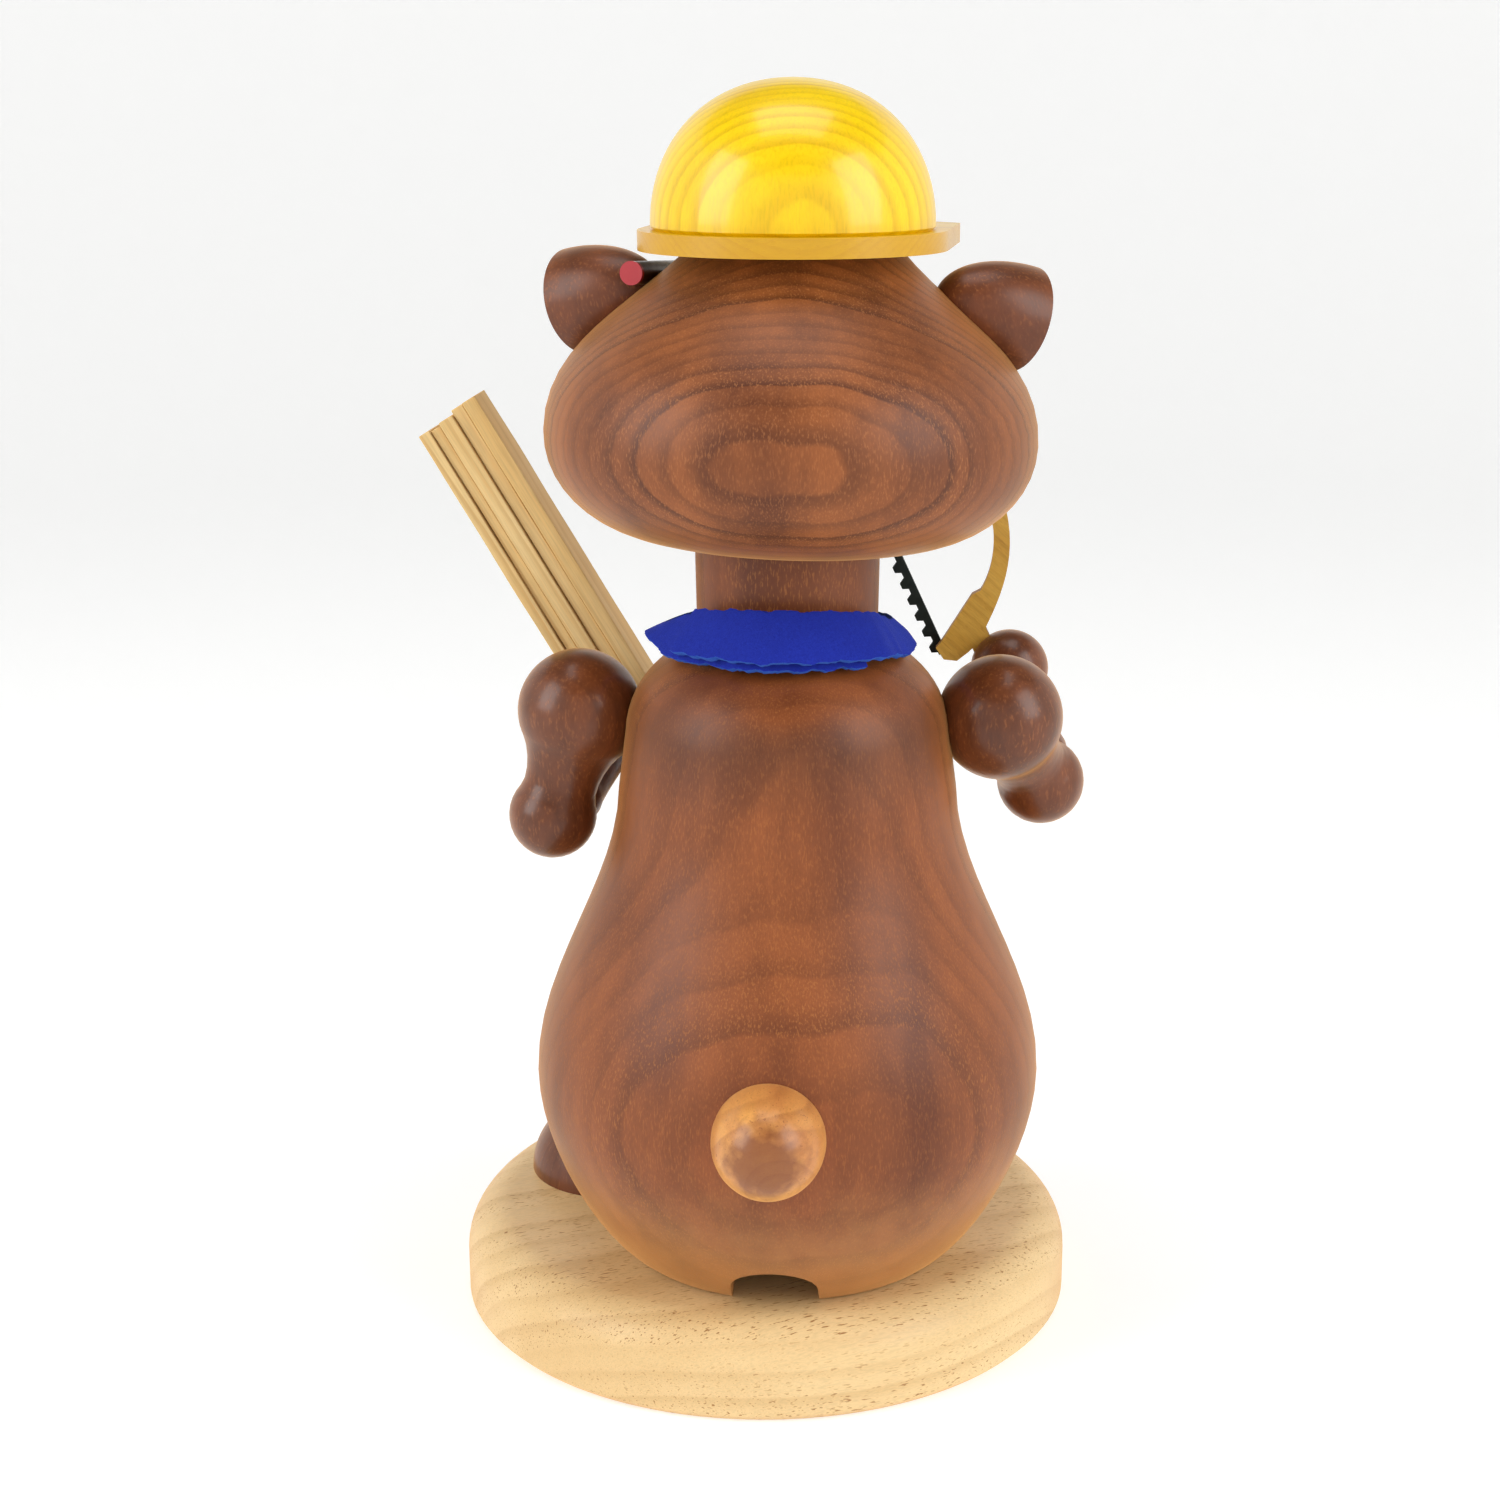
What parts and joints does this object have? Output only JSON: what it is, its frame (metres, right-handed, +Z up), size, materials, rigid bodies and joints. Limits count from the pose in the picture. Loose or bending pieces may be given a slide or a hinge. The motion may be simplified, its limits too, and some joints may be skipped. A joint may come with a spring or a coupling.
{
  "type": "incense smoker figure",
  "caption": "Turned-wood incense smoker: a hollow bear dressed as a builder that turns on its round base and lifts off an ember dish.",
  "frame": {"origin": "where the figure's turning axis meets the underside of the base plate", "axes": "+Z up along the turning axis, -Y the way the figure faces, +X to the figure's left"},
  "size_m": [0.1087, 0.1125, 0.1962],
  "materials": {
    "beech": "natural, fine sanded and waxed",
    "brown_stain": "walnut stained, satin lacquer",
    "dark_stain": "dark walnut stained, satin lacquer",
    "tail_stain": "light walnut stained, satin lacquer",
    "muzzle_wood": "natural turned wood, satin lacquer",
    "yellow_dome": "yellow stained, gloss lacquer",
    "yellow_brim": "yellow stained plywood, satin lacquer",
    "pine": "natural planed softwood",
    "plywood": "birch plywood with burnt edges",
    "black_bead": "black gloss lacquer",
    "red_lacquer": "red lacquered wood",
    "graphite": "matt graphite",
    "blue_felt": "pressed wool felt",
    "blackened_steel": "blackened strip",
    "tinplate": "pressed sheet",
    "brass": "domed tack"
  },
  "bodies": {
    "base": {"base_plate": "beech", "left_foot": "dark_stain", "right_foot": "dark_stain", "disc_tack": "brass"},
    "turntable": {"locating_disc": "beech", "ember_dish": "tinplate"},
    "figure": {"body": "brown_stain", "tail": "tail_stain", "tail_dowel": "beech", "head": "brown_stain", "muzzle": "muzzle_wood", "nose": "black_bead", "left_eye": "black_bead", "right_eye": "black_bead", "left_ear": "dark_stain", "right_ear": "dark_stain", "ear_dowels": "beech", "helmet_brim": "yellow_brim", "helmet_dome": "yellow_dome", "helmet_dowel": "beech", "pencil": "red_lacquer", "pencil_lead": "graphite", "neckerchief": "blue_felt", "left_upper_arm": "dark_stain", "right_upper_arm": "dark_stain", "left_forearm": "dark_stain", "right_forearm": "dark_stain", "shoulder_dowels": "beech", "elbow_dowels": "beech", "saw_bow": "plywood", "saw_blade": "blackened_steel", "batten_1": "pine", "batten_2": "pine", "batten_3": "pine", "batten_4": "pine", "batten_5": "pine"}
  },
  "joints": [
    {"name": "figure_turn", "type": "hinge", "parent": "base", "child": "turntable", "pos_m": [0, 0, 0], "axis": [0, 0, 1], "continuous": true},
    {"name": "figure_lift", "type": "slide", "parent": "turntable", "child": "figure", "axis": [0, 0, 1], "range_m": [0, 0.06]}
  ]
}
